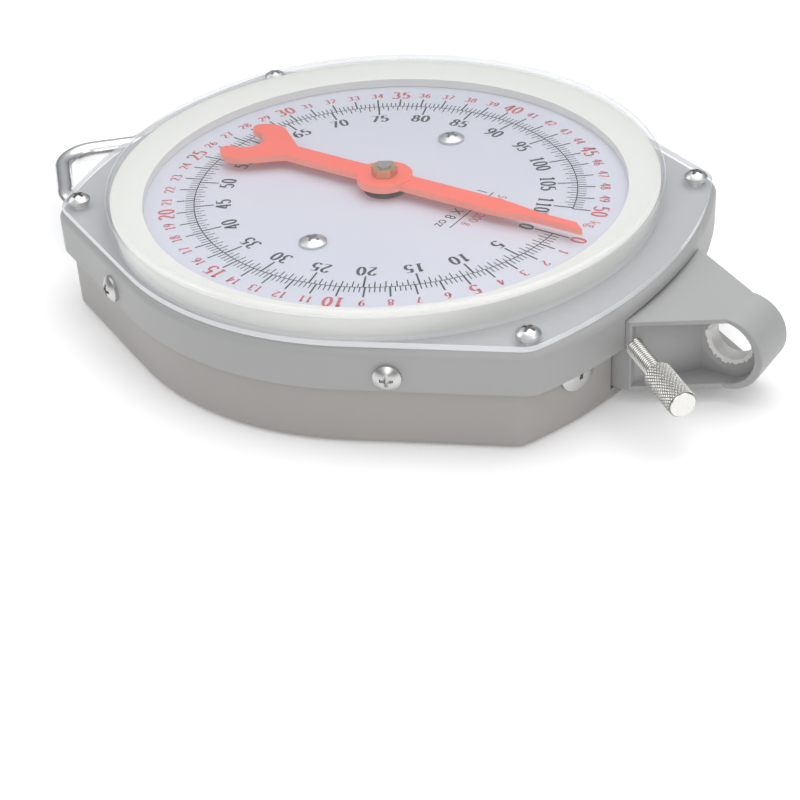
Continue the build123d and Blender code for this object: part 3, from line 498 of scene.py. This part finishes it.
def ringBand(name, radius, width, height, finish, steps=360, first=0.0, last=360.0):
    points, faces = [], []
    for i in range(steps + 1):
        a = radians(first + (last - first) * i / steps)
        for r in (radius - width / 2, radius + width / 2):
            points.append((r * sin(a), r * cos(a), height))
    for i in range(steps):
        faces.append((2 * i, 2 * i + 1, 2 * i + 3, 2 * i + 2))
    return meshObject(name, points, [tuple(reversed(f)) for f in faces], finish)


scaleLine = ringBand("scaleLine", dial["line"], dial["lineWidth"], dial["top"], blackInk, 300, 0, 344.5)
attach(scaleLine, "casing")

# numerals: each is a few pen strokes in a box 0.6 wide and 1 high
pen = {"thin": 0.032, "thick": 0.1, "wide": 0.6, "gap": 0.06}


def arcRun(cx, cy, rx, ry, first, last, steps=18):
    angles = [radians(first + (last - first) * i / steps) for i in range(steps + 1)]
    return [(cx + rx * cos(a), cy + ry * sin(a)) for a in angles]


def turnedOver(strokes):
    return [[(pen["wide"] - x, 1 - y) for x, y in stroke] for stroke in strokes]


sixStrokes = [arcRun(0.3, 0.29, 0.2, 0.27, 0, 360), arcRun(0.52, 0.36, 0.42, 0.6, 98, 186)]
numerals = {
    "0": [arcRun(0.3, 0.5, 0.21, 0.46, 0, 360, 26)],
    "1": [[(0.32, 0.0), (0.32, 0.97)], [(0.33, 0.93), (0.14, 0.8)], [(0.14, 0.03), (0.5, 0.03)]],
    "2": [arcRun(0.28, 0.72, 0.2, 0.25, 165, -25) + [(0.28, 0.36), (0.09, 0.08)], [(0.07, 0.06), (0.53, 0.06)]],
    "3": [arcRun(0.27, 0.74, 0.18, 0.22, 150, -85), arcRun(0.27, 0.27, 0.22, 0.26, 85, -150)],
    "4": [[(0.41, 0.97), (0.05, 0.3)], [(0.04, 0.3), (0.57, 0.3)], [(0.41, 0.98), (0.41, 0.0)]],
    "5": [[(0.15, 0.93), (0.5, 0.93)], [(0.17, 0.94), (0.13, 0.5)], arcRun(0.27, 0.31, 0.22, 0.28, 130, -150)],
    "6": sixStrokes,
    "7": [[(0.06, 0.93), (0.53, 0.93)], [(0.52, 0.94), (0.24, 0.0)]],
    "8": [arcRun(0.3, 0.74, 0.16, 0.21, 0, 360), arcRun(0.3, 0.27, 0.21, 0.25, 0, 360)],
    "9": turnedOver(sixStrokes),
}


def strokeStrip(stroke):
    # a pen line, thick where it runs up or down and thin where it runs across
    left, right = [], []
    closed = hypot(stroke[0][0] - stroke[-1][0], stroke[0][1] - stroke[-1][1]) < 1e-6
    for i, (x, y) in enumerate(stroke):
        before = stroke[i - 1] if i else (stroke[-2] if closed else stroke[0])
        after = stroke[i + 1] if i + 1 < len(stroke) else (stroke[1] if closed else stroke[-1])
        dx, dy = after[0] - before[0], after[1] - before[1]
        size = hypot(dx, dy)
        half = (pen["thin"] + (pen["thick"] - pen["thin"]) * abs(dy) / size)
        left.append((x - dy / size * half, y + dx / size * half))
        right.append((x + dy / size * half, y - dx / size * half))
    return left, right


def numberMesh(entries, name, finish):
    # entries: text, angle in degrees, middle radius, height
    points, faces = [], []
    for text, angle, radius, high in entries:
        a = radians(angle)
        out, along = (sin(a), cos(a)), (cos(a), -sin(a))
        total = len(text) * pen["wide"] + (len(text) - 1) * pen["gap"]
        for place, digit in enumerate(text):
            shift = place * (pen["wide"] + pen["gap"]) - total / 2
            for stroke in numerals[digit]:
                left, right = strokeStrip(stroke)
                first = len(points)
                for edge in (left, right):
                    for gx, gy in edge:
                        u, v = (gx + shift) * high, radius + (gy - 0.5) * high
                        points.append((u * along[0] + v * out[0], u * along[1] + v * out[1], dial["top"]))
                n = len(left)
                for i in range(n - 1):
                    faces.append((first + i, first + n + i, first + n + i + 1, first + i + 1))
    made = meshObject(name, points, faces, finish)
    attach(made, "casing")
    return made


numbers = {"kiloRadius": 76.1, "kiloBig": 5.7, "kiloSmall": 3.6, "poundRadius": 56.4, "poundHigh": 5.4}
kiloEntries, poundEntries = [], []
for kilo in range(dial["kilos"] + 1):
    high = numbers["kiloBig"] if kilo % 5 == 0 else numbers["kiloSmall"]
    kiloEntries.append((str(kilo), kilo * dial["degreesPerKilo"], numbers["kiloRadius"] * mm, high * mm))
for pound in range(0, dial["pounds"] + 1, 5):
    turn = pound * dial["degreesPerPound"]
    poundEntries.append((str(pound), turn, numbers["poundRadius"] * mm, numbers["poundHigh"] * mm))
numberMesh(kiloEntries, "kiloNumbers", redInk)
numberMesh(poundEntries, "poundNumbers", blackInk)

labels = {
    # text, sideways shift, distance out, angle round the dial, width, ink
    "poundRange": ("110 lbs X 8 oz", -0.8, 30.4, 0, 28.5, blackInk),
    "kiloRange": ("50 kg X 200 g", -3.0, 38.6, 0, 24.0, redInk),
    "kiloUnit": ("kg", 0, 76.0, 351.3, 4.2, redInk),
    "poundUnit": ("lbs", 0, 57.5, 350.6, 4.6, blackInk),
}


def label(name, text, shift, radius, angle, wide, finish):
    curve = bpy.data.curves.new(name, "FONT")
    curve.body = text
    curve.align_x = "CENTER"
    curve.align_y = "CENTER"
    maker = bpy.data.objects.new(name, curve)
    bpy.context.scene.collection.objects.link(maker)
    bpy.context.view_layer.update()
    mesh = bpy.data.meshes.new_from_object(maker.evaluated_get(bpy.context.evaluated_depsgraph_get()))
    bpy.data.objects.remove(maker)
    turn = Matrix.Rotation(-radians(angle), 4, "Z")
    natural = max(v.co.x for v in mesh.vertices) - min(v.co.x for v in mesh.vertices)
    size = Matrix.Diagonal((wide * mm / natural, wide * mm / natural * 1.15, 0, 1))
    mesh.transform(turn @ Matrix.Translation((shift * mm, radius * mm, dial["top"])) @ size)
    mesh.materials.clear()
    mesh.materials.append(finish)
    made = bpy.data.objects.new(name, mesh)
    bpy.context.scene.collection.objects.link(made)
    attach(made, "casing")


for name, entry in labels.items():
    label(name, *entry)
ruleCorners = [(-15.5, 34.2), (13.0, 34.2), (13.0, 34.65), (-15.5, 34.65)]
rulePoints = [(x * mm, y * mm, dial["top"]) for x, y in ruleCorners]
rule = meshObject("rangeRule", rulePoints, [(0, 1, 2, 3)], blackInk)
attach(rule, "casing")
print("dial numbers:", len(kiloEntries) + len(poundEntries))

# thread and knurl



def wave(value):
    return abs(2 * (value % 1) - 1)


def turned(rows, steps):
    # rows of (height, radius as a function of angle); closed at both ends
    points, faces = [(0, 0, rows[0][0])], []
    for height, radiusAt in rows:
        for i in range(steps):
            a = 2 * pi * i / steps
            r = radiusAt(a)
            points.append((r * cos(a), r * sin(a), height))
    points.append((0, 0, rows[-1][0]))
    last = len(points) - 1
    for i in range(steps):
        j = (i + 1) % steps
        faces.append((0, 1 + j, 1 + i))
        faces.append((last, last - steps + i, last - steps + j))
        for k in range(len(rows) - 1):
            low, high = 1 + k * steps, 1 + (k + 1) * steps
            faces.append((low + i, low + j, high + j, high + i))
    return points, faces


def threadRows():
    rows = []
    length = screw["inside"] + screw["exposed"]
    count = ceil(length / screw["pitch"] * 6)
    for k in range(count + 1):
        h = -screw["inside"] + length * k / count
        fade = min(1.0, (h + screw["inside"]) / screw["pitch"])

        def radiusAt(a, h=h, fade=fade):
            depth = wave(h / screw["pitch"] - a / (2 * pi)) * screw["threadDepth"]
            return screw["radius"] - depth - (1 - fade) * screw["threadDepth"]
        rows.append((h, radiusAt))
    spigotTip = -screw["inside"] - screw["spigotLength"]
    for h in (-screw["inside"], spigotTip):
        rows.insert(0, (h, lambda a: screw["spigot"]))
    return rows


def knobRows():
    rows = []
    base, length, edge = screw["exposed"], screw["knobLength"], screw["chamfer"]
    count = ceil(length / (0.2 * mm))
    turnsPerLength = screw["diamonds"] / (2 * pi * screw["knobRadius"])
    rows.append((base, lambda a: screw["knobRadius"] - edge))
    for k in range(count + 1):
        h = length * k / count
        cut = max(0.0, edge - min(h, length - h))

        def radiusAt(a, h=h, cut=cut):
            u, v = a * screw["diamonds"] / (2 * pi), h * turnsPerLength
            grooves = 1 - min(wave(u + v * 0.62), wave(u - v * 0.62)) * 2
            full = screw["knobRadius"] - max(0.0, grooves) * screw["knurlDepth"]
            return min(full, screw["knobRadius"] - cut)
        rows.append((base + h, radiusAt))
    return rows


def outwardPlace(points):
    a = radians(screw["angle"])
    out = Vector((sin(a), cos(a), 0))
    across = Vector((cos(a), -sin(a), 0))
    up = Vector((0, 0, 1))
    start = Vector(screw["mouth"])
    turnBasis = out.cross(across).dot(up) > 0
    second = up if turnBasis else -up
    return [start + out * p[2] + across * p[0] + second * p[1] for p in points]


rodPoints, rodFaces = turned(threadRows(), 40)
knobPoints, knobFaces = turned(knobRows(), 156)
tareRod = meshObject("tareThread", outwardPlace(rodPoints), rodFaces, threadZinc, False)
tareKnob = meshObject("tareKnob", outwardPlace(knobPoints), knobFaces, knurlZinc, False)
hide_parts("tare_screw")
for piece in (tareRod, tareKnob):
    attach(piece, "tare_screw")
print("tare screw:", len(rodFaces) + len(knobFaces), "faces")

# springs: a hook, close coils and a hook

spring = {
    "x": 16.0 * mm, "height": 15.5 * mm, "coil": 5.4 * mm, "wire": 1.05 * mm,
    "turns": 19, "pinLow": -26.0 * mm, "pinHigh": 38.1 * mm, "leg": 9.0 * mm,
}


def springPath(x):
    lowest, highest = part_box("spring_right")[0].y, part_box("spring_right")[1].y
    reach = spring["coil"] + 1.1 * mm
    hookLow, hookHigh = lowest + reach, highest - reach
    coilLow, coilHigh = hookLow + spring["leg"], hookHigh - spring["leg"]
    r, h = spring["coil"], spring["height"]
    path = []
    for i in range(11):
        a = radians(180 + 180 * i / 10)
        path.append((x + r * cos(a), hookLow + r * sin(a), h))
    steps = spring["turns"] * 20
    for i in range(steps + 1):
        a = 2 * pi * (spring["turns"] + 0.5) * i / steps
        path.append((x + r * cos(a), coilLow + (coilHigh - coilLow) * i / steps, h + r * sin(a)))
    for i in range(11):
        a = radians(180 - 180 * i / 10)
        path.append((x + r * cos(a), hookHigh + r * sin(a), h))
    return path


for name, x in (("spring_right", spring["x"]), ("spring_left", -spring["x"])):
    curve = bpy.data.curves.new(name + "Wire", "CURVE")
    curve.dimensions = "3D"
    curve.bevel_depth = spring["wire"]
    curve.bevel_resolution = 2
    curve.use_fill_caps = True
    line = curve.splines.new("POLY")
    path = springPath(x)
    line.points.add(len(path) - 1)
    for point, place in zip(line.points, path):
        point.co = (*place, 1)
    made = bpy.data.objects.new(name + "Wire", curve)
    bpy.context.scene.collection.objects.link(made)
    bpy.context.view_layer.update()
    mesh = bpy.data.meshes.new_from_object(made.evaluated_get(bpy.context.evaluated_depsgraph_get()))
    bpy.data.objects.remove(made)
    mesh.materials.clear()
    mesh.materials.append(springSteel)
    mesh.polygons.foreach_set("use_smooth", [True] * len(mesh.polygons))
    made = bpy.data.objects.new(name + "Wire", mesh)
    bpy.context.scene.collection.objects.link(made)
    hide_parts(name)
    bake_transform(made)
print("springs: 2")

# floor, light and camera

stageSizes = {"floor": 9.0, "drop": 0.0003, "floorColour": (0.94, 0.935, 0.935), "floorLift": 0.13}
half = stageSizes["floor"]
floorCorners = [(-half, -half), (half, -half), (half, half), (-half, half)]


def floorTree(tree):
    return principled(
        tree, Base_Color=stageSizes["floorColour"], Roughness=0.32, Specular_IOR_Level=0.35,
        Emission_Color=(1, 1, 1), Emission_Strength=stageSizes["floorLift"],
    )


floorPoints = [(x, y, -stageSizes["drop"]) for x, y in floorCorners]
floor = meshObject("floor", floorPoints, [(0, 1, 2, 3)], material("paleFloor", floorTree))

world = bpy.data.worlds.new("studio")
bpy.context.scene.world = world
world.use_nodes = True
sky = world.node_tree
height = axesOf(sky, addNode(sky, "ShaderNodeTexCoord", {}, {}, "Generated"))[2]
glow = addNode(sky, "ShaderNodeValToRGB", {"stops": [
    (0.0, (0.3, 0.3, 0.31)), (0.12, (0.12, 0.12, 0.13)),
    (0.45, (0.4, 0.41, 0.43)), (0.8, (0.75, 0.77, 0.8)),
]}, {"Fac": height})
sky.links.new(glow.socket, sky.nodes["Background"].inputs["Color"])
sky.nodes["Background"].inputs["Strength"].default_value = 1.0

lamps = {
    # place, aim, size, power, colour
    "overhead": ((-0.35, 0.05, 1.35), (0, 0, 0), 1.7, 11.5, (1, 0.99, 0.98)),
    "front": ((1.0, 0.5, 0.6), (0, 0, 0.02), 0.7, 2.4, (1, 0.98, 0.95)),
    "right": ((0.1, 1.2, 0.9), (0, 0.05, 0.02), 0.8, 2.4, (1, 0.98, 0.96)),
    "left": ((0.35, -1.1, 0.9), (0, -0.05, 0.02), 0.9, 2.6, (1, 0.99, 0.98)),
}
for name, (place, aim, size, power, colour) in lamps.items():
    lamp = bpy.data.lights.new(name, "AREA")
    lamp.shape = "DISK"
    lamp.size = size
    lamp.energy = power
    lamp.color = colour
    made = bpy.data.objects.new(name, lamp)
    made.location = place
    made.rotation_euler = (Vector(aim) - Vector(place)).to_track_quat("-Z", "Y").to_euler()
    bpy.context.scene.collection.objects.link(made)

view = {
    "place": (0.46075, 0.32492, 0.33396),
    "right": (-0.5475, 0.8354, -0.0477),
    "up": (-0.4928, -0.2759, 0.8252),
    "back": (0.6762, 0.4754, 0.5628),
    "lens": 81.86,
}
camera = bpy.data.objects.new("camera", bpy.data.cameras.new("camera"))
camera.data.lens = view["lens"]
camera.data.sensor_width = 36
camera.data.clip_start = 0.01
facing = Matrix((view["right"], view["up"], view["back"])).transposed().to_4x4()
camera.matrix_world = Matrix.Translation(view["place"]) @ facing
bpy.context.scene.collection.objects.link(camera)
bpy.context.scene.camera = camera
bpy.context.scene.view_settings.view_transform = "Standard"
print("camera and lights set")
